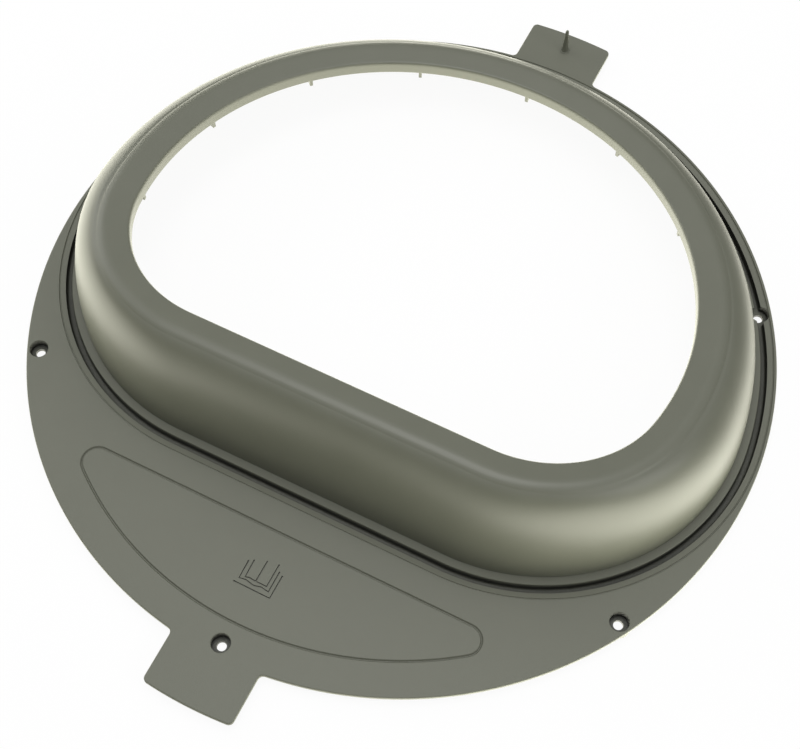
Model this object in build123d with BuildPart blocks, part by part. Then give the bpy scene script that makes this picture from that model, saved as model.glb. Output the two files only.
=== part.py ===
"""Dryer door glass holder: one injection moulding.

A round flange with two tabs carries a tall D shaped collar. The collar leans:
its rim is higher over the straight side than over the round side. Inside the rim
a narrow land slopes to the glass opening and turns down in a lip that stands on
thin ribs. A seal groove runs round the foot of the collar.

Frame: millimetres, +Z up towards the drum, +Y from the straight side of the D to
its round side, z = 0 the plane that the rear channel and screw cups stand on.
"""
import math
import os

from build123d import *

# Flange, tabs and the height of its front face over the rear plane
flange_radius = 210.0
flange_wall = 2.5
front_height = 7.5
tab_width = 51.6
tab_length = 29.0
tab_corner = 4.0
tab_root = 3.0

# D outline of the fine step round the seal groove, on the flange's front face
step_margin = 2.0
step_flat = 121.4
step_corner = 128.0
step_depth = 0.4

# Seal groove and the ledge that the collar stands on
lead_in_width = 3.3
groove_width = 4.0
groove_floor = 2.0
channel_wall = 2.0
ledge_width = 4.4
ledge_rise = 0.8
ledge_wall = 2.2

# Glass opening, as a D in the leaning plane of the rim
opening_radius = 154.5
opening_centre = 10.8
opening_flat = 72.6
opening_corner = 67.0

# Collar: rim height over the flange at y = 0, lean of the rim, elliptic side, land
rim_height = 57.0
rim_lean = 8.2
crest_slope = 19.0
collar_bands = 6
collar_wall = 2.5
land_width = 14.0
land_dip = 2.0
crest_flat = 1.2

# Lip under the opening's edge and the ribs behind it
lip_wall = 2.2
lip_depth = 6.0
rib_thickness = 1.8
rib_drop = 6.0
rib_pitch = 24.5
rib_count = 9
flat_rib_spacing = 60.0
flat_rib_count = 3

# Six counterbored screw cups on one circle inside the flange's edge
screw_inset = 6.7
screw_count = 6
screw_start = 30.0
screw_hole = 5.2
screw_head = 10.3
cup_diameter = 13.0

# Shallow outline of the panel between the collar and the lower tab
panel_gap = 16.0
panel_margin = 19.0
panel_corner = 8.4
panel_line = 1.4
panel_depth = 0.5

# Tapered pin on the upper tab
pin_height = 18.3
pin_base = 4.0
pin_waist = 2.6
pin_tip = 1.5
pin_inset = 13.0

# Derived sizes
tab_reach = flange_radius + tab_length
step_radius = flange_radius - step_margin
flange_back = front_height - flange_wall
ledge_top = front_height + ledge_rise
foot_height = ledge_top - ledge_wall
collar_rise = front_height + rim_height - foot_height
groove_inset = lead_in_width + groove_width
foot_inset = groove_inset + ledge_width
crest_grow = land_width - crest_flat
side_run = step_flat - foot_inset - opening_flat - land_width
rim_tilt = math.tan(math.radians(rim_lean))
screw_radius = flange_radius - screw_inset
panel_radius = flange_radius - panel_margin
panel_top = step_flat + panel_gap
rib_sweep = rib_pitch * (rib_count - 1)

# Lengths of tools that cut right past the part, and of one that just clears a face
across = 4 * tab_reach
through = 4 * rim_height
past = 5.0


def side_point(slope):
    """Shares of the elliptic side's run and rise at the point that has this slope."""
    rise_over_run = collar_rise / side_run
    turn = math.atan2(math.sin(math.radians(slope)), rise_over_run * math.cos(math.radians(slope)))
    return math.sin(turn), math.cos(turn)


def rim_plane(share, drop=0.0):
    """Plane at a share of the collar's height, leaning in step with its height."""
    height = foot_height + share * collar_rise - drop
    return Plane(origin=(0, 0, height), x_dir=(1, 0, 0), z_dir=(0, share * rim_tilt, 1))


def crest_plane(drop):
    """Plane a drop below the crest of the collar."""
    run_share, rise_share = side_point(crest_slope)
    return rim_plane(rise_share, drop)


def d_shape(radius, centre, flat, corner):
    """Face of a D: a round about (0, centre), a straight at -flat, round corners."""
    rise = corner - flat - centre
    reach = math.sqrt((radius - corner) ** 2 - rise**2)
    grow = radius / (radius - corner)
    right = (reach * grow, centre + rise * grow)
    left = (-reach * grow, centre + rise * grow)
    with BuildSketch() as shape:
        with BuildLine():
            Line((-reach, -flat), (reach, -flat))
            TangentArc((reach, -flat), right, tangent=(1, 0))
            ThreePointArc(right, (0, centre + radius), left)
            TangentArc((-reach, -flat), left, tangent=(-1, 0))
        make_face()
    return shape.sketch


def step_d(inset):
    """D of the step, drawn in by an inset."""
    return d_shape(step_radius - inset, 0, step_flat - inset, step_corner - inset)


def opening_d(grow):
    """D of the glass opening, grown by an amount."""
    return d_shape(opening_radius + grow, opening_centre, opening_flat + grow, opening_corner + grow)


def collar_section(slope, skin):
    """Section of the collar where its side has one slope, drawn in by a skin."""
    run_share, rise_share = side_point(slope)
    inset = skin * math.sin(math.radians(slope))
    drop = skin * math.cos(math.radians(slope))

    def blend(foot, crest):
        return crest + (foot - crest) * run_share

    with BuildSketch(rim_plane(rise_share, drop)) as section:
        add(d_shape(
            blend(step_radius - foot_inset, opening_radius + land_width) - inset,
            blend(0, opening_centre),
            blend(step_flat - foot_inset, opening_flat + land_width) - inset,
            blend(step_corner - foot_inset, opening_corner + land_width) - inset,
        ))
    return section.sketch


def collar_body(skin):
    """Solid inside the collar's side, drawn in by a skin, in bands of equal turn."""
    turn = (90 - crest_slope) / collar_bands
    slopes = [90 - turn * band for band in range(collar_bands + 1)]
    with BuildPart() as body:
        loft([collar_section(slope, skin) for slope in slopes], ruled=True)
    return body.part


def land_bowl(drop):
    """Shallow bowl over the land, from inside the crest down to the opening."""
    with BuildPart() as bowl:
        with BuildSketch(crest_plane(drop - past)) as above:
            add(opening_d(crest_grow * (1 + past / land_dip)))
        with BuildSketch(crest_plane(drop + land_dip)) as below:
            add(opening_d(0))
        loft([above.sketch, below.sketch], ruled=True)
    return bowl.part


def pin_section(height, diameter):
    """Round section of the pin at a height over the flange."""
    with BuildSketch(Plane.XY.offset(front_height + height)) as section:
        with Locations((0, tab_reach - pin_inset)):
            Circle(diameter / 2)
    return section.sketch


# Room behind the collar's side and land
with BuildPart() as hollow:
    add(collar_body(collar_wall))
    add(land_bowl(collar_wall), mode=Mode.SUBTRACT)

# Ribs between the lip and the collar's side, with their tops buried in the land
with BuildPart() as ribs:
    with Locations((0, opening_centre)):
        with PolarLocations(opening_radius, rib_count, 90 - rib_sweep / 2, rib_sweep, endpoint=True):
            Box(4 * land_width, rib_thickness, through)
    with Locations((0, -opening_flat)):
        with GridLocations(flat_rib_spacing, 1, flat_rib_count, 1):
            Box(rib_thickness, 4 * land_width, through)
    add(collar_body(collar_wall / 2), mode=Mode.INTERSECT)
    with BuildSketch(crest_plane(land_dip + lip_depth + rib_drop)):
        Rectangle(across, across)
    extrude(amount=through, dir=(0, 0, -1), mode=Mode.SUBTRACT)
    add(land_bowl(collar_wall / 2), mode=Mode.SUBTRACT)

with BuildPart() as glass_holder:
    # Flange with its two tabs
    with BuildSketch(Plane.XY.offset(flange_back)) as flange_face:
        Circle(tab_reach)
        Rectangle(tab_width, across, mode=Mode.INTERSECT)
        fillet(flange_face.vertices(), tab_corner)
        Circle(flange_radius)
        fillet(flange_face.vertices().sort_by_distance((0, 0))[:4], tab_root)
    extrude(amount=flange_wall)

    # Block that the seal channel is cut from, and the ledge inside the groove
    with BuildSketch():
        add(step_d(lead_in_width - channel_wall))
    extrude(amount=front_height)
    with BuildSketch(Plane.XY.offset(flange_back)):
        add(step_d(groove_inset))
    extrude(amount=ledge_top - flange_back)

    # Collar with its land, hollow from the rear
    add(collar_body(0))
    add(land_bowl(0), mode=Mode.SUBTRACT)
    add(hollow.part, mode=Mode.SUBTRACT)
    with BuildSketch():
        add(step_d(groove_inset + channel_wall))
    extrude(amount=foot_height, mode=Mode.SUBTRACT)

    # Lip turned down round the opening, its ribs, and the glass opening
    with BuildSketch(crest_plane(land_dip + collar_wall / 2)):
        add(opening_d(lip_wall))
    extrude(amount=lip_depth, dir=(0, 0, -1))
    add(ribs.part)
    with BuildSketch(crest_plane(through / 2)):
        add(opening_d(0))
    extrude(amount=through, dir=(0, 0, 1), mode=Mode.SUBTRACT)

    # Screw cups, then the seal groove that opens into three of them
    with BuildSketch():
        with PolarLocations(screw_radius, screw_count, screw_start):
            Circle(cup_diameter / 2)
    extrude(amount=front_height)
    with BuildSketch(Plane.XY.offset(groove_floor)):
        add(step_d(lead_in_width))
        add(step_d(groove_inset), mode=Mode.SUBTRACT)
    extrude(amount=front_height, mode=Mode.SUBTRACT)
    with BuildSketch(Plane.XY.offset(front_height - step_depth)):
        add(step_d(0))
        add(step_d(lead_in_width), mode=Mode.SUBTRACT)
    extrude(amount=past, mode=Mode.SUBTRACT)
    with BuildSketch(Plane.XY.offset(groove_floor)):
        with PolarLocations(screw_radius, screw_count, screw_start):
            Circle(screw_head / 2)
    extrude(amount=front_height, mode=Mode.SUBTRACT)
    with BuildSketch():
        with PolarLocations(screw_radius, screw_count, screw_start):
            Circle(screw_hole / 2)
    extrude(amount=front_height, mode=Mode.SUBTRACT)

    # Outline of the panel
    with BuildSketch(Plane.XY.offset(front_height - panel_depth)) as panel_face:
        Circle(panel_radius + panel_line / 2)
        with Locations((0, -panel_top + panel_line / 2)):
            Rectangle(across, across, align=(Align.CENTER, Align.MAX), mode=Mode.INTERSECT)
        fillet(panel_face.vertices(), panel_corner + panel_line / 2)
        offset(amount=-panel_line, mode=Mode.SUBTRACT)
    extrude(amount=past, mode=Mode.SUBTRACT)

    # Pin on the upper tab, tapered with a slight flare at its foot
    add(pin_section(0, pin_base))
    add(pin_section(pin_height / 2, pin_waist))
    add(pin_section(pin_height, pin_tip))
    loft()

glass_holder.part.label = "glass_holder"
os.makedirs("parts", exist_ok=True)
export_step(glass_holder.part, "parts/glass_holder.step")
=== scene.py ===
"""Dryer door glass holder, dressed in its moulded grey plastic.

The whole object is one injection moulding, so every section adds to or cuts the same piece, in the
order in which its forms build on each other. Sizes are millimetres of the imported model's own frame.
"""
import math

import bmesh
import bpy
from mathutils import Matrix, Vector


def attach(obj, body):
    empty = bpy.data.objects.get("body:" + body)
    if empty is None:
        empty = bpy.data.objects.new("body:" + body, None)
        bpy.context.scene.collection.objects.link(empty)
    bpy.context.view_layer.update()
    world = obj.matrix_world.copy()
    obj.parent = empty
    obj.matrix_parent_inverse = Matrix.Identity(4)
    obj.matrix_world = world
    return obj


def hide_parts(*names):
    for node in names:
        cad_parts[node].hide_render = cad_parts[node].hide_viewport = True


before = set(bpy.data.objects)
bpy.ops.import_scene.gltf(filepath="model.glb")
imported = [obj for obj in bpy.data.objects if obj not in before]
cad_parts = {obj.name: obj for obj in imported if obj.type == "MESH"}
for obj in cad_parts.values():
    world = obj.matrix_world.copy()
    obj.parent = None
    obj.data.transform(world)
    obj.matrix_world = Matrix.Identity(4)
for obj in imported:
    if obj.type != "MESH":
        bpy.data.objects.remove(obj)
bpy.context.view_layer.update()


# Grey plastic
# Satin injection moulded plastic in a grey with a touch of olive. The mould was spark eroded, which
# leaves a fine even grain on the flat faces and a smoother skin on the collar's drawn sides.
def grey_plastic():
    """Material of the whole moulding, on its own coordinates in metres."""
    colour = (0.122, 0.127, 0.096, 1.0)
    colour_worn = (0.136, 0.141, 0.108, 1.0)
    roughness_low = 0.38
    roughness_high = 0.44
    flange_matt = 0.11
    grain_per_metre = 2600.0
    grain_height = 0.00006
    flow_per_metre = 55.0
    flange_grain = 1.0
    collar_grain = 0.3
    grain_fades_from = 0.009
    grain_fades_to = 0.016
    # Painted shade: ambient occlusion darkens the base colour in crevices, within this reach and between
    # these levels
    crevice_reach = 0.012
    crevice_closed = 0.32
    crevice_open = 0.5
    painted_crevice_shade = 0.1
    crevice_samples = 8
    plastic_ior = 1.52
    flow_detail = 4.0
    grain_detail = 2.0

    material = bpy.data.materials.new("grey_plastic")
    material.use_nodes = True
    nodes = material.node_tree.nodes
    links = material.node_tree.links
    shader = nodes["Principled BSDF"]
    shader.inputs["IOR"].default_value = plastic_ior

    place = nodes.new("ShaderNodeTexCoord")
    height = nodes.new("ShaderNodeSeparateXYZ")
    links.new(place.outputs["Object"], height.inputs["Vector"])

    flow = nodes.new("ShaderNodeTexNoise")
    flow.inputs["Scale"].default_value = flow_per_metre
    flow.inputs["Detail"].default_value = flow_detail
    links.new(place.outputs["Object"], flow.inputs["Vector"])

    tint = nodes.new("ShaderNodeMix")
    tint.data_type = "RGBA"
    tint.inputs["A"].default_value = colour
    tint.inputs["B"].default_value = colour_worn
    links.new(flow.outputs["Fac"], tint.inputs["Factor"])

    # Painted shade: the colour is darkened where ambient occlusion finds the groove, the screw cups, the
    # sunk lines and other crevices
    crevice = nodes.new("ShaderNodeAmbientOcclusion")
    crevice.samples = crevice_samples
    crevice.inputs["Distance"].default_value = crevice_reach
    painted_shade = nodes.new("ShaderNodeMapRange")
    painted_shade.inputs["From Min"].default_value = crevice_closed
    painted_shade.inputs["From Max"].default_value = crevice_open
    painted_shade.inputs["To Min"].default_value = painted_crevice_shade
    links.new(crevice.outputs["AO"], painted_shade.inputs["Value"])
    painted_shade_colour = nodes.new("ShaderNodeVectorMath")
    painted_shade_colour.operation = "SCALE"
    links.new(tint.outputs["Result"], painted_shade_colour.inputs["Vector"])
    links.new(painted_shade.outputs["Result"], painted_shade_colour.inputs["Scale"])
    links.new(painted_shade_colour.outputs["Vector"], shader.inputs["Base Color"])

    gloss = nodes.new("ShaderNodeMapRange")
    gloss.inputs["To Min"].default_value = roughness_low
    gloss.inputs["To Max"].default_value = roughness_high
    links.new(flow.outputs["Fac"], gloss.inputs["Value"])
    matt = nodes.new("ShaderNodeMapRange")
    matt.inputs["From Min"].default_value = grain_fades_from
    matt.inputs["From Max"].default_value = grain_fades_to
    matt.inputs["To Min"].default_value = flange_matt
    matt.inputs["To Max"].default_value = 0.0
    links.new(height.outputs["Z"], matt.inputs["Value"])
    rough = nodes.new("ShaderNodeMath")
    rough.operation = "ADD"
    links.new(gloss.outputs["Result"], rough.inputs[0])
    links.new(matt.outputs["Result"], rough.inputs[1])
    links.new(rough.outputs["Value"], shader.inputs["Roughness"])

    grain = nodes.new("ShaderNodeTexNoise")
    grain.inputs["Scale"].default_value = grain_per_metre
    grain.inputs["Detail"].default_value = grain_detail
    links.new(place.outputs["Object"], grain.inputs["Vector"])

    depth = nodes.new("ShaderNodeMapRange")
    depth.inputs["From Min"].default_value = grain_fades_from
    depth.inputs["From Max"].default_value = grain_fades_to
    depth.inputs["To Min"].default_value = flange_grain
    depth.inputs["To Max"].default_value = collar_grain
    links.new(height.outputs["Z"], depth.inputs["Value"])

    bump = nodes.new("ShaderNodeBump")
    bump.inputs["Distance"].default_value = grain_height
    links.new(depth.outputs["Result"], bump.inputs["Strength"])
    links.new(grain.outputs["Fac"], bump.inputs["Height"])
    links.new(bump.outputs["Normal"], shader.inputs["Normal"])
    return material


plastic = grey_plastic()


# Collar and seal channel
# The leaning D shaped collar round the door glass, with its land, its lip and the channel block at
# its foot. It is drawn straight out of the mould, as a wall of even thickness on an elliptic side.
mm = 0.001
half_straight_parts = 20
corner_parts = 64
round_parts = 200

step_radius = 208.0
step_flat = 121.4
step_corner = 128.0
front_height = 7.5
flange_back = 5.0

line_half = 0.5
line_depth = 0.65
line_floor = 0.4
strip_drop = 0.2
strip_fall = 0.7
groove_out = 3.3
groove_in = 7.3
ledge_height = 8.3
foot_inset = 11.7
channel_out = 1.3
channel_in = 9.3
edge_break = 0.3

opening_radius = 154.5
opening_centre = 10.8
opening_flat = 72.6
opening_corner = 67.0
land_width = 14.0

foot_height = 6.1
rim_top = 64.5
rim_tilt = math.tan(math.radians(8.2))
wall = 2.5
side_foot_slope = 87.5
side_top_slope = 26
side_parts = 30
inner_top_slope = 19
inner_parts = 22


def d_ring(radius, centre, flat, corner, height, tilt):
    """Points of a D from the middle of its straight side to the right and round, in a leaning plane."""
    rise = corner - flat - centre
    reach = math.sqrt((radius - corner) ** 2 - rise**2)
    turn = math.atan2(rise, reach)
    quarter = math.pi / 2
    plan = []
    for k in range(half_straight_parts):
        plan.append((reach * k / half_straight_parts, -flat))
    for k in range(corner_parts):
        angle = (turn + quarter) * k / corner_parts - quarter
        plan.append((reach + corner * math.cos(angle), corner - flat + corner * math.sin(angle)))
    for k in range(round_parts):
        angle = turn + (math.pi - 2 * turn) * k / round_parts
        plan.append((radius * math.cos(angle), centre + radius * math.sin(angle)))
    for k in range(corner_parts):
        angle = math.pi - turn + (turn + quarter) * k / corner_parts
        plan.append((corner * math.cos(angle) - reach, corner - flat + corner * math.sin(angle)))
    for k in range(half_straight_parts):
        plan.append((reach * (k / half_straight_parts - 1), -flat))
    lean = math.hypot(1, tilt)
    return [Vector((x, y / lean, height - y * tilt / lean)) * mm for x, y in plan]


def step_ring(inset, height):
    """Ring round the collar's foot, drawn in from the fine line on the flange."""
    return d_ring(step_radius - inset, 0, step_flat - inset, step_corner - inset, height, 0)


def rim_ring(grow, drop):
    """Ring round the glass opening, grown outwards, below the crest of the rim."""
    return d_ring(
        opening_radius + grow, opening_centre, opening_flat + grow, opening_corner + grow,
        rim_top - drop, rim_tilt,
    )


def side_ring(slope, skin):
    """Ring on the elliptic side where it has this slope in degrees, drawn in by a skin."""
    run = step_flat - foot_inset - opening_flat - land_width
    rise = rim_top - foot_height
    lean = math.radians(slope)
    turn = math.atan2(math.sin(lean) * run, math.cos(lean) * rise)
    inset = skin * math.sin(lean)
    share = math.cos(turn)

    def blend(foot, crest):
        return crest + (foot - crest) * math.sin(turn) - inset

    return d_ring(
        blend(step_radius - foot_inset, opening_radius + land_width),
        opening_centre * (1 - math.sin(turn)),
        blend(step_flat - foot_inset, opening_flat + land_width),
        blend(step_corner - foot_inset, opening_corner + land_width),
        foot_height + rise * share - skin * math.cos(lean),
        rim_tilt * share,
    )


def spread(first, last, parts):
    """Evenly spaced values from first to last."""
    return [first + (last - first) * k / parts for k in range(parts + 1)]


def bend(start, corner, end, parts=4):
    """Points of a rounded corner between two points of a profile."""
    points = []
    for t in spread(0, 1, parts):
        a, b, c = (1 - t) ** 2, 2 * t * (1 - t), t**2
        points.append(tuple(a * p + b * q + c * r for p, q, r in zip(start, corner, end)))
    return points


strip_height = front_height - strip_drop
groove_middle = (groove_out + groove_in) / 2
rings = [step_ring(*point) for point in (
    (-line_half, front_height),
    (-line_half * line_floor, front_height - line_depth),
    (line_half * line_floor, front_height - line_depth),
    (line_half, strip_height),
    (groove_middle, strip_height - strip_fall),
    (groove_middle, ledge_height),
    (foot_inset, ledge_height),
)]
rings += [side_ring(slope, 0) for slope in spread(side_foot_slope, side_top_slope, side_parts)]

# Small bead that ends the side, then the land that dishes to the opening
bead = [
    (17.9, 0.8), (17.4, 0.48), (16.9, 0.15), (16.5, -0.07), (16.0, -0.29), (15.4, -0.51), (14.8, -0.7),
    (14.2, -0.85), (13.6, -0.95), (13.0, -1.0), (12.4, -0.99), (11.8, -0.93), (11.2, -0.84),
]
land_rise = 0.225
land_outer = 10.6
land_inner = 1.6
land_drop = 1.3
land_parts = 9
land = [
    (grow, land_drop - (grow - land_inner) * land_rise)
    for grow in spread(land_outer, land_inner, land_parts)
]
lip_edge_parts = 6
lip_inner_edge = bend((1.4, 1.36), (0.0, 1.75), (0.0, 4.0), lip_edge_parts)
lip_drop = 9.8
lip_wall = 2.2
lip_round = 0.6
lip_end = bend((0.0, lip_drop - lip_round), (0.0, lip_drop), (lip_round, lip_drop))
lip_end += bend((lip_wall - lip_round, lip_drop), (lip_wall, lip_drop), (lip_wall, lip_drop - lip_round))
land_under = [(lip_wall, 5.3), (3.0, 4.7), (8.0, 3.9), (12.0, 3.25)]
rings += [rim_ring(*point) for point in bead + land + lip_inner_edge + lip_end + land_under]
rings += [side_ring(slope, wall) for slope in spread(inner_top_slope, 90, inner_parts)]
rings += [step_ring(*point) for point in (
    [(channel_in, foot_height)]
    + [(channel_in, edge_break), (channel_in - edge_break, 0.0)]
    + [(channel_out + edge_break, 0.0), (channel_out, edge_break), (channel_out, flange_back)]
)]


def add_rings(bm, loops):
    """Lays quads between loops of points in turn, and returns the vertices of each loop."""
    rows = [[bm.verts.new(point) for point in loop] for loop in loops]
    for row, following in zip(rows, rows[1:]):
        for k in range(len(row)):
            bm.faces.new((row[k - 1], row[k], following[k], following[k - 1]))
    return rows


body = bmesh.new()
collar_rows = add_rings(body, rings)


# Flange and tabs
# The round plate that carries the collar, with a plain tab at the top and one at the bottom. Its
# front edge is softly rounded, and the faces reach from that edge to the line round the channel.
flange_radius = 210.0
tab_reach = 239.0
tab_half = 25.8
tab_corner = 3.0
tab_root = 3.0
front_round = 0.8
back_round = 0.3
front_round_parts = 5
back_round_parts = 3
flange_parts = 190
tab_root_parts = 6
tab_corner_parts = 8
tab_end_parts = 12


def arc(centre, radius, first, last, parts):
    """Plan points on an arc, with their outward directions, for angles in radians."""
    points = []
    for angle in spread(first, last, parts):
        outward = Vector((math.cos(angle), math.sin(angle)))
        points.append((Vector(centre) + radius * outward, outward))
    return points


def flange_outline():
    """Plan of the flange and tabs, counter-clockwise, as points with outward directions."""
    root_x = tab_half + tab_root
    root_y = math.sqrt((flange_radius + tab_root) ** 2 - root_x**2)
    root_angle = math.atan2(root_y, root_x)
    end_x = tab_half - tab_corner
    end_y = math.sqrt((tab_reach - tab_corner) ** 2 - end_x**2)
    end_angle = math.atan2(end_y, end_x)
    right_root = arc((root_x, root_y), tab_root, root_angle + math.pi, math.pi, tab_root_parts)
    left_root = arc((-root_x, root_y), tab_root, 0, -root_angle, tab_root_parts)
    half = arc((0, 0), flange_radius, -root_angle, root_angle, flange_parts)
    half += [(p, -d) for p, d in right_root[1:]]
    half += arc((end_x, end_y), tab_corner, 0, end_angle, tab_corner_parts)
    half += arc((0, 0), tab_reach, end_angle, math.pi - end_angle, tab_end_parts)[1:-1]
    half += arc((-end_x, end_y), tab_corner, math.pi - end_angle, math.pi, tab_corner_parts)
    half += [(p, -d) for p, d in left_root]
    turned = [(-p, -d) for p, d in half]
    return half[1:] + turned[1:]


outline = flange_outline()
quarter_turn = math.pi / 2
edge_profile = [
    (front_round * (1 - math.sin(a)), front_height - front_round * (1 - math.cos(a)))
    for a in spread(0, quarter_turn, front_round_parts)
]
edge_profile += [
    (back_round * (1 - math.cos(a)), flange_back + back_round * (1 - math.sin(a)))
    for a in spread(0, quarter_turn, back_round_parts)
]
edge_loops = [
    [Vector(((p - inset * d).x, (p - inset * d).y, height)) * mm for p, d in outline]
    for inset, height in edge_profile
]
edge_rows = add_rings(body, edge_loops)


def fill_between(bm, outside, inside, facing):
    """Fills the flat face between two rows of vertices."""
    edges = []
    for row in (outside, inside):
        for k in range(len(row)):
            edges.append(bm.edges.get((row[k - 1], row[k])))
    bmesh.ops.triangle_fill(bm, use_beauty=True, edges=edges, normal=(0, 0, facing))


fill_between(body, edge_rows[0], collar_rows[0], 1)
fill_between(body, edge_rows[-1], collar_rows[-1], -1)


def mesh_object(name, bm):
    """Object at the origin from a closed bmesh, with its faces turned outwards."""
    bmesh.ops.recalc_face_normals(bm, faces=bm.faces)
    mesh = bpy.data.meshes.new(name)
    bm.to_mesh(mesh)
    bm.free()
    mesh.materials.append(plastic)
    obj = bpy.data.objects.new(name, mesh)
    bpy.context.scene.collection.objects.link(obj)
    return obj


moulding = mesh_object("glass_holder_moulding", body)


# Ribs behind the lip
# Thin plates between the lip, the land and the collar's side, moulded with them. Nine stand round the
# arc of the opening at even angles and three along its straight side.
rib_half = 0.9
rib_pitch = math.radians(24.5)
rib_count = 9
straight_rib_spacing = 60.0
straight_rib_count = 3
rib_drop = 15.0
rib_inner = 1.1
rib_slopes = (66, 54, 42, 31, 21)
rib_top_outer = (12.0, 2.0)
rib_top_drop = 4.0

rib_rings = [rim_ring(rib_inner, rib_drop)]
rib_rings += [side_ring(slope, wall / 2) for slope in rib_slopes]
rib_rings += [rim_ring(*rib_top_outer), rim_ring(rib_inner, rib_top_drop)]


def crossing(loop, start, along):
    """Point where a ring crosses a plan line from start in one direction."""
    for k in range(len(loop)):
        before = loop[k - 1].xy - start
        after = loop[k].xy - start
        side_before = along.cross(before)
        side_after = along.cross(after)
        if side_before <= 0 < side_after and along.dot(before) > 0:
            return loop[k - 1].lerp(loop[k], side_before / (side_before - side_after))
    raise ValueError("the line meets no ring")


def add_plate(bm, near, far):
    """Adds a closed plate between two like outlines."""
    rows = add_rings(bm, [near, far])
    bm.faces.new(rows[0])
    bm.faces.new(rows[1])


def add_rib(bm, start, angle):
    """Adds one rib that stands along a plan line."""
    along = Vector((math.cos(angle), math.sin(angle)))
    across = Vector((-along.y, along.x, 0)) * rib_half * mm
    outline_points = [crossing(loop, start, along) for loop in rib_rings]
    add_plate(bm, [p - across for p in outline_points], [p + across for p in outline_points])


ribs = bmesh.new()
for k in range(rib_count):
    fan = (k - (rib_count - 1) / 2) * rib_pitch
    add_rib(ribs, Vector((0, opening_centre)) * mm, math.pi / 2 + fan)
for k in range(straight_rib_count):
    place = (k - (straight_rib_count - 1) / 2) * straight_rib_spacing
    add_rib(ribs, Vector((place, 0)) * mm, -math.pi / 2)
rib_set = mesh_object("ribs", ribs)


# Pin on the upper tab
# A slender tapered pin with a low ring at its foot, moulded upright on the tab. It brings the
# moulding to its place on the door before the screws are driven.
pin_y = 226.0
pin_parts = 32
pin_profile = [
    (3.0, 6.2), (3.0, 7.62), (2.94, 7.8), (2.75, 7.92), (2.5, 7.9), (2.35, 8.0), (2.2, 8.5), (2.05, 9.6),
    (1.8, 12.0), (1.58, 15.5), (1.35, 19.5), (1.16, 23.0), (1.05, 24.7), (0.85, 25.4), (0.5, 25.8),
    (0.2, 25.85),
]


def add_lathe(bm, profile, centre, parts):
    """Adds a closed turned form from radii and heights, bottom to top, about an upright axis."""
    loops = []
    for radius, height in profile:
        loops.append([
            Vector((centre[0] + radius * math.cos(a), centre[1] + radius * math.sin(a), height)) * mm
            for a in spread(0, 2 * math.pi, parts)[:-1]
        ])
    rows = add_rings(bm, loops)
    bm.faces.new(rows[0])
    bm.faces.new(rows[-1])


pin = bmesh.new()
add_lathe(pin, pin_profile, (0, pin_y), pin_parts)
pin_piece = mesh_object("pin", pin)


# Screw cups
# Six round cups sunk behind the flange take the heads of the screws that hold the moulding to the
# door. Three stand clear on the plate, and the seal groove runs through the other three. The hole at
# the upper tab's root is plain, with no room for a head.
screw_radius = 203.3
screw_count = 6
first_screw = math.radians(30)
cup_profile = [(6.2, 0.0), (6.5, 0.3), (6.5, 6.2)]
bore_profile = [(2.6, -1.0), (2.6, 2.0), (5.15, 2.0), (5.15, 7.25), (5.5, 7.6), (5.5, 10.0)]
plain_profile = [(2.6, -1.0), (2.6, 10.0)]
hole_parts = 48
plain_hole = 1
none_left_out = -1


def circle_pattern():
    """Node tree that sets copies of a piece round a circle."""
    tree = bpy.data.node_groups.new("round the screw circle", "GeometryNodeTree")
    face = tree.interface
    face.new_socket("Geometry", in_out="INPUT", socket_type="NodeSocketGeometry")
    face.new_socket("Circle radius", in_out="INPUT", socket_type="NodeSocketFloat")
    face.new_socket("Count", in_out="INPUT", socket_type="NodeSocketInt")
    face.new_socket("First angle", in_out="INPUT", socket_type="NodeSocketVector")
    face.new_socket("Left out", in_out="INPUT", socket_type="NodeSocketInt")
    face.new_socket("Finish", in_out="INPUT", socket_type="NodeSocketMaterial")
    face.new_socket("Geometry", in_out="OUTPUT", socket_type="NodeSocketGeometry")
    nodes = tree.nodes
    links = tree.links
    given = nodes.new("NodeGroupInput")
    circle = nodes.new("GeometryNodeMeshCircle")
    turn = nodes.new("GeometryNodeTransform")
    number = nodes.new("GeometryNodeInputIndex")
    wanted = nodes.new("FunctionNodeCompare")
    wanted.data_type = "INT"
    wanted.operation = "NOT_EQUAL"
    copies = nodes.new("GeometryNodeInstanceOnPoints")
    real = nodes.new("GeometryNodeRealizeInstances")
    finish = nodes.new("GeometryNodeSetMaterial")
    result = nodes.new("NodeGroupOutput")
    links.new(given.outputs["Circle radius"], circle.inputs["Radius"])
    links.new(given.outputs["Count"], circle.inputs["Vertices"])
    links.new(circle.outputs["Mesh"], turn.inputs["Geometry"])
    links.new(given.outputs["First angle"], turn.inputs["Rotation"])
    links.new(turn.outputs["Geometry"], copies.inputs["Points"])
    links.new(number.outputs["Index"], wanted.inputs[2])
    links.new(given.outputs["Left out"], wanted.inputs[3])
    links.new(wanted.outputs["Result"], copies.inputs["Selection"])
    links.new(given.outputs["Geometry"], copies.inputs["Instance"])
    links.new(copies.outputs["Instances"], real.inputs["Geometry"])
    links.new(real.outputs["Geometry"], finish.inputs["Geometry"])
    links.new(given.outputs["Finish"], finish.inputs["Material"])
    links.new(finish.outputs["Geometry"], result.inputs["Geometry"])
    return tree


def apply_tree(obj, tree, values):
    """Runs a node tree on an object and keeps the result as its plain mesh."""
    modifier = obj.modifiers.new(tree.name, "NODES")
    modifier.node_group = tree
    for socket in tree.interface.items_tree:
        if socket.in_out == "INPUT" and socket.name in values:
            modifier[socket.identifier] = values[socket.name]
    keep_evaluated(obj)


def keep_evaluated(obj):
    """Replaces an object's mesh with its evaluated one and drops its modifiers."""
    seen = obj.evaluated_get(bpy.context.evaluated_depsgraph_get())
    mesh = bpy.data.meshes.new_from_object(seen)
    obj.modifiers.clear()
    obj.data = mesh


pattern = circle_pattern()


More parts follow.
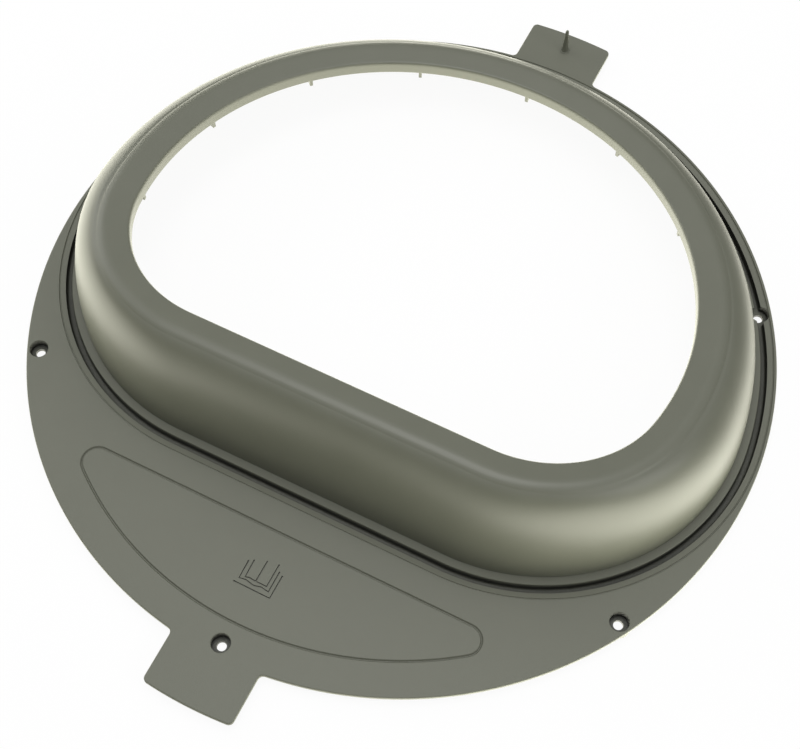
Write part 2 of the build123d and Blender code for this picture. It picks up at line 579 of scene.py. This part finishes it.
def on_screw_circle(name, profile, left_out):
    """Copies of a turned form on the screw circle, without the one of a number."""
    turned = bmesh.new()
    add_lathe(turned, profile, (0, 0), hole_parts)
    obj = mesh_object(name, turned)
    apply_tree(obj, pattern, {
        "Circle radius": screw_radius * mm, "Count": screw_count,
        "First angle": (0.0, 0.0, first_screw), "Left out": left_out, "Finish": plastic,
    })
    return obj


cups = on_screw_circle("cups", cup_profile, none_left_out)
bores = on_screw_circle("bores", bore_profile, plain_hole)
plain = bmesh.new()
add_lathe(plain, plain_profile, (0, screw_radius), hole_parts)
plain_bore = mesh_object("plain_bore", plain)


# Seal groove
# The narrow round-bottomed groove that a rubber seal is pressed into. It follows the collar's foot
# and its two edges are slightly broken.
groove_floor = 2.0
floor_round = 1.6
floor_parts = 6
merge_distance = 1e-7
groove_profile = [(groove_out, strip_height - edge_break)]
groove_profile += bend(
    (groove_out, groove_floor + floor_round), (groove_out, groove_floor),
    (groove_out + floor_round, groove_floor), floor_parts,
)
groove_profile += bend(
    (groove_in - floor_round, groove_floor), (groove_in, groove_floor),
    (groove_in, groove_floor + floor_round), floor_parts,
)
groove_profile += [
    (groove_in, ledge_height - edge_break), (groove_in + 3 * edge_break, ledge_height + 2 * edge_break),
    (groove_in + 3 * edge_break, ledge_height + 3 * edge_break),
    (groove_out - 2 * edge_break, ledge_height + 3 * edge_break),
    (groove_out - 2 * edge_break, strip_height + edge_break),
]
groove = bmesh.new()
groove_loops = [step_ring(*point) for point in groove_profile]
add_rings(groove, groove_loops + groove_loops[:1])
bmesh.ops.remove_doubles(groove, verts=groove.verts, dist=merge_distance)
groove_cutter = mesh_object("groove", groove)


# Panel outline and book sign
# A shallow line frames the plain panel between the collar and the lower tab, and fine lines inside it
# draw an open book, the common sign for reading the instructions. Both are cut in the mould's face.
panel_top = 137.4
panel_radius = 191.0
panel_corner = 8.4
panel_corner_parts = 12
panel_arc_parts = 90

# Each cutter stands half above the face, so a line is half as deep as its height
panel_line = {"Floor width": 0.4 * mm, "Mouth width": 2.8 * mm, "Height": 1.8 * mm, "Finish": plastic}
book_line = {"Floor width": 0.5 * mm, "Mouth width": 1.1 * mm, "Height": 1.4 * mm, "Finish": plastic}


def panel_path():
    """Plan of the panel's closed outline."""
    corner_y = -panel_top - panel_corner
    corner_x = math.sqrt((panel_radius - panel_corner) ** 2 - corner_y**2)
    angle = math.atan2(corner_y, corner_x)
    far = -math.pi - angle
    right = arc((corner_x, corner_y), panel_corner, math.pi / 2, angle, panel_corner_parts)
    low = arc((0, 0), panel_radius, angle, far, panel_arc_parts)[1:-1]
    left = arc((-corner_x, corner_y), panel_corner, far, -1.5 * math.pi, panel_corner_parts)
    return [p for p, d in right + low + left]


book_lines = [
    [(-10.8, -171.4), (10.6, -171.4), (10.7, -157.6)],
    [
        (-9.2, -158.1), (-9.0, -168.6), (-5.3, -168.1), (-0.3, -169.1), (3.7, -168.1), (8.3, -168.6),
        (8.3, -156.4),
    ],
    [(-6.7, -156.5), (-6.4, -166.9), (-4.5, -166.3), (-0.3, -166.6), (6.1, -166.5), (6.2, -153.0)],
]
book_spine = [[(-0.2, -154.1), (-0.3, -166.5)]]


def line_tree():
    """Node tree that sweeps a cutter with sloping sides along lines on the flange."""
    tree = bpy.data.node_groups.new("sunk line", "GeometryNodeTree")
    face = tree.interface
    face.new_socket("Geometry", in_out="INPUT", socket_type="NodeSocketGeometry")
    face.new_socket("Floor width", in_out="INPUT", socket_type="NodeSocketFloat")
    face.new_socket("Mouth width", in_out="INPUT", socket_type="NodeSocketFloat")
    face.new_socket("Height", in_out="INPUT", socket_type="NodeSocketFloat")
    face.new_socket("Finish", in_out="INPUT", socket_type="NodeSocketMaterial")
    face.new_socket("Geometry", in_out="OUTPUT", socket_type="NodeSocketGeometry")
    nodes = tree.nodes
    links = tree.links
    given = nodes.new("NodeGroupInput")
    lines = nodes.new("GeometryNodeMeshToCurve")
    upright = nodes.new("GeometryNodeSetCurveNormal")
    upright.mode = "Z_UP"
    section = nodes.new("GeometryNodeCurvePrimitiveQuadrilateral")
    section.mode = "TRAPEZOID"
    section.inputs["Offset"].default_value = 0.0
    sweep = nodes.new("GeometryNodeCurveToMesh")
    real = nodes.new("GeometryNodeRealizeInstances")
    finish = nodes.new("GeometryNodeSetMaterial")
    result = nodes.new("NodeGroupOutput")
    links.new(given.outputs["Geometry"], lines.inputs["Mesh"])
    links.new(lines.outputs["Curve"], upright.inputs["Curve"])
    links.new(given.outputs["Floor width"], section.inputs["Top Width"])
    links.new(given.outputs["Mouth width"], section.inputs["Bottom Width"])
    links.new(given.outputs["Height"], section.inputs["Height"])
    sweep.inputs["Fill Caps"].default_value = True
    links.new(upright.outputs["Curve"], sweep.inputs["Curve"])
    links.new(section.outputs["Curve"], sweep.inputs["Profile Curve"])
    links.new(sweep.outputs["Mesh"], real.inputs["Geometry"])
    links.new(real.outputs["Geometry"], finish.inputs["Geometry"])
    links.new(given.outputs["Finish"], finish.inputs["Material"])
    links.new(finish.outputs["Geometry"], result.inputs["Geometry"])
    return tree


def line_object(name, paths, closed, height):
    """Object that holds plan paths as edges at a height."""
    mesh = bpy.data.meshes.new(name)
    points = []
    edges = []
    for path in paths:
        first = len(points)
        points += [Vector((p[0], p[1], height)) * mm for p in path]
        edges += [(k, k + 1) for k in range(first, len(points) - 1)]
        if closed:
            edges.append((len(points) - 1, first))
    mesh.from_pydata(points, edges, [])
    obj = bpy.data.objects.new(name, mesh)
    bpy.context.scene.collection.objects.link(obj)
    return obj


sunk_line = line_tree()
panel_cutter = line_object("panel", [panel_path()], True, front_height)
apply_tree(panel_cutter, sunk_line, panel_line)
book_cutters = []
for name, paths in (("book", book_lines), ("book_spine", book_spine)):
    cutter = line_object(name, paths, False, front_height)
    apply_tree(cutter, sunk_line, book_line)
    book_cutters.append(cutter)


# One moulding
# The forms above become one closed skin: what stands proud is joined to the collar and flange, then
# the groove, bores and lines are cut. Flat faces stay flat beside the rounded edges.
sharp_from = math.radians(32)
for other, how in (
    (rib_set, "UNION"), (pin_piece, "UNION"), (cups, "UNION"), (groove_cutter, "DIFFERENCE"),
    (panel_cutter, "DIFFERENCE"), (book_cutters[0], "DIFFERENCE"), (book_cutters[1], "DIFFERENCE"),
    (bores, "DIFFERENCE"), (plain_bore, "DIFFERENCE"),
):
    step = moulding.modifiers.new(other.name, "BOOLEAN")
    step.object = other
    step.operation = how
    step.solver = "MANIFOLD"
    keep_evaluated(moulding)
    bpy.data.objects.remove(other)
for face in moulding.data.polygons:
    face.use_smooth = True
    face.material_index = 0
moulding.data.set_sharp_from_angle(angle=sharp_from)
normals = moulding.modifiers.new("flat faces stay flat", "WEIGHTED_NORMAL")
normals.keep_sharp = True
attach(moulding, "root")
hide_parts("glass_holder")


# Floor and backdrop
# A plain white table that keeps the moulding's own soft shadow. It is white to the camera and throws
# warm light on the collar: most at its sides, less in front, inside the opening and behind.
floor_size = 6.0
floor_drop = 0.0002
floor_white = (0.9, 0.9, 0.9, 1.0)
floor_glow = 0.93
glow_tint = (1.0, 0.985, 0.85, 1.0)
glow_strength = 5.2
glow_front = 1.4
glow_left = 0.68
glow_back = 0.08
glow_inside = 0.72
front_fade = (-0.28, -0.04)
front_spread = 0.7
back_fade = (0.17, 0.40)
left_fade = (-0.3, 0.1)
inside_fade = (0.17, 0.21)
back_right = (0.9, 1.0, 0.0)


def table_white():
    """Matt white over a lit table, white to the camera, that still takes a shadow."""
    material = bpy.data.materials.new("table_white")
    material.use_nodes = True
    nodes = material.node_tree.nodes
    links = material.node_tree.links
    nodes.clear()
    result = nodes.new("ShaderNodeOutputMaterial")
    matt = nodes.new("ShaderNodeBsdfDiffuse")
    matt.inputs["Color"].default_value = floor_white
    glow = nodes.new("ShaderNodeEmission")
    glow.inputs["Color"].default_value = glow_tint
    place = nodes.new("ShaderNodeTexCoord")
    axes = nodes.new("ShaderNodeSeparateXYZ")
    links.new(place.outputs["Object"], axes.inputs["Vector"])
    slant = nodes.new("ShaderNodeVectorMath")
    slant.operation = "DOT_PRODUCT"
    slant.inputs[1].default_value = back_right
    links.new(place.outputs["Object"], slant.inputs[0])
    aside = nodes.new("ShaderNodeMath")
    aside.operation = "ABSOLUTE"
    links.new(axes.outputs["X"], aside.inputs[0])
    ahead = nodes.new("ShaderNodeMath")
    ahead.operation = "MULTIPLY_ADD"
    ahead.inputs[1].default_value = front_spread
    links.new(aside.outputs["Value"], ahead.inputs[0])
    links.new(axes.outputs["Y"], ahead.inputs[2])
    reach = nodes.new("ShaderNodeVectorMath")
    reach.operation = "LENGTH"
    links.new(place.outputs["Object"], reach.inputs[0])
    fades = []
    for along, (near, far), start, end in (
        (ahead.outputs["Value"], front_fade, glow_front, glow_strength),
        (slant.outputs["Value"], back_fade, 1.0, glow_back),
        (axes.outputs["X"], left_fade, glow_left, 1.0),
        (reach.outputs["Value"], inside_fade, glow_inside, 1.0),
    ):
        fade = nodes.new("ShaderNodeMapRange")
        fade.interpolation_type = "SMOOTHSTEP"
        fade.inputs["From Min"].default_value = near
        fade.inputs["From Max"].default_value = far
        fade.inputs["To Min"].default_value = start
        fade.inputs["To Max"].default_value = end
        links.new(along, fade.inputs["Value"])
        fades.append(fade)
    level = fades[0].outputs["Result"]
    for fade in fades[1:]:
        weaken = nodes.new("ShaderNodeMath")
        weaken.operation = "MULTIPLY"
        links.new(level, weaken.inputs[0])
        links.new(fade.outputs["Result"], weaken.inputs[1])
        level = weaken.outputs["Value"]
    links.new(level, glow.inputs["Strength"])
    white = nodes.new("ShaderNodeEmission")
    ray = nodes.new("ShaderNodeLightPath")
    seen = nodes.new("ShaderNodeMixShader")
    mix = nodes.new("ShaderNodeMixShader")
    mix.inputs["Fac"].default_value = floor_glow
    links.new(ray.outputs["Is Camera Ray"], seen.inputs["Fac"])
    links.new(glow.outputs["Emission"], seen.inputs[1])
    links.new(white.outputs["Emission"], seen.inputs[2])
    links.new(matt.outputs["BSDF"], mix.inputs[1])
    links.new(seen.outputs["Shader"], mix.inputs[2])
    links.new(mix.outputs["Shader"], result.inputs["Surface"])
    return material


floor_mesh = bpy.data.meshes.new("table")
floor_half = floor_size / 2
floor_mesh.from_pydata(
    [(x * floor_half, y * floor_half, -floor_drop) for x, y in ((-1, -1), (1, -1), (1, 1), (-1, 1))],
    [], [(0, 1, 2, 3)],
)
floor_mesh.materials.append(table_white())
table = bpy.data.objects.new("table", floor_mesh)
bpy.context.scene.collection.objects.link(table)


# Studio light
# A white tent that is brightest overhead, with one broad soft lamp above and a low one at each side,
# as for catalogue pictures.
sky_top = 0.72
sky_low = 0.02
sky_fade = (0.18, 0.68)
sky_lean = (0.0, 0.12, 0.993)
sky = bpy.data.worlds.new("white_tent")
sky.use_nodes = True
bpy.context.scene.world = sky
sky_nodes = sky.node_tree.nodes
sky_links = sky.node_tree.links
backdrop = sky_nodes["Background"]
backdrop.inputs["Color"].default_value = (1.0, 1.0, 1.0, 1.0)
sky_place = sky_nodes.new("ShaderNodeTexCoord")
sky_axis = sky_nodes.new("ShaderNodeVectorMath")
sky_axis.operation = "DOT_PRODUCT"
sky_axis.inputs[1].default_value = sky_lean
sky_rise = sky_nodes.new("ShaderNodeMapRange")
sky_rise.interpolation_type = "SMOOTHSTEP"
sky_rise.inputs["From Min"].default_value = sky_fade[0]
sky_rise.inputs["From Max"].default_value = sky_fade[1]
sky_rise.inputs["To Min"].default_value = sky_low
sky_rise.inputs["To Max"].default_value = sky_top
sky_ray = sky_nodes.new("ShaderNodeLightPath")
sky_level = sky_nodes.new("ShaderNodeMapRange")
sky_level.inputs["To Max"].default_value = 1.0
sky_links.new(sky_place.outputs["Generated"], sky_axis.inputs[0])
sky_links.new(sky_axis.outputs["Value"], sky_rise.inputs["Value"])
sky_links.new(sky_rise.outputs["Result"], sky_level.inputs["To Min"])
sky_links.new(sky_ray.outputs["Is Camera Ray"], sky_level.inputs["Value"])
sky_links.new(sky_level.outputs["Result"], backdrop.inputs["Strength"])


def soft_lamp(name, place, aim, width, depth, power):
    """Rectangular soft lamp that faces a point."""
    data = bpy.data.lights.new(name, "AREA")
    data.shape = "RECTANGLE"
    data.size = width
    data.size_y = depth
    data.energy = power
    lamp = bpy.data.objects.new(name, data)
    lamp.location = place
    lamp.rotation_euler = (Vector(aim) - Vector(place)).to_track_quat("-Z", "Y").to_euler()
    bpy.context.scene.collection.objects.link(lamp)


soft_lamp("overhead", place=(-0.1, 0.05, 1.6), aim=(0.0, 0.0, 0.0), width=1.2, depth=0.5, power=9.0)
soft_lamp("left", place=(-1.3, 0.25, 0.6), aim=(0.0, 0.0, 0.05), width=0.9, depth=0.8, power=5.0)
soft_lamp("right", place=(1.3, -0.1, 0.6), aim=(0.0, 0.0, 0.05), width=0.9, depth=0.8, power=5.0)


# Camera
# The photograph's own viewpoint, found from the flange's round edge, the tabs and the screw holes. Its
# shift is less than a pixel and centres the frame.
camera_height = math.radians(62.184)
camera_turn = math.radians(26.855)
camera_data = bpy.data.cameras.new("photo_camera")
camera_data.sensor_fit = "HORIZONTAL"
camera_data.lens = 67.98
camera_data.shift_x = -0.0006
camera_data.shift_y = -0.0008
camera = bpy.data.objects.new("photo_camera", camera_data)
camera.location = (0.1883, -0.3733, 0.7485)
camera.rotation_euler = (math.pi / 2 - camera_height, 0, camera_turn)
bpy.context.scene.collection.objects.link(camera)
bpy.context.scene.camera = camera
bpy.context.scene.view_settings.view_transform = "Standard"
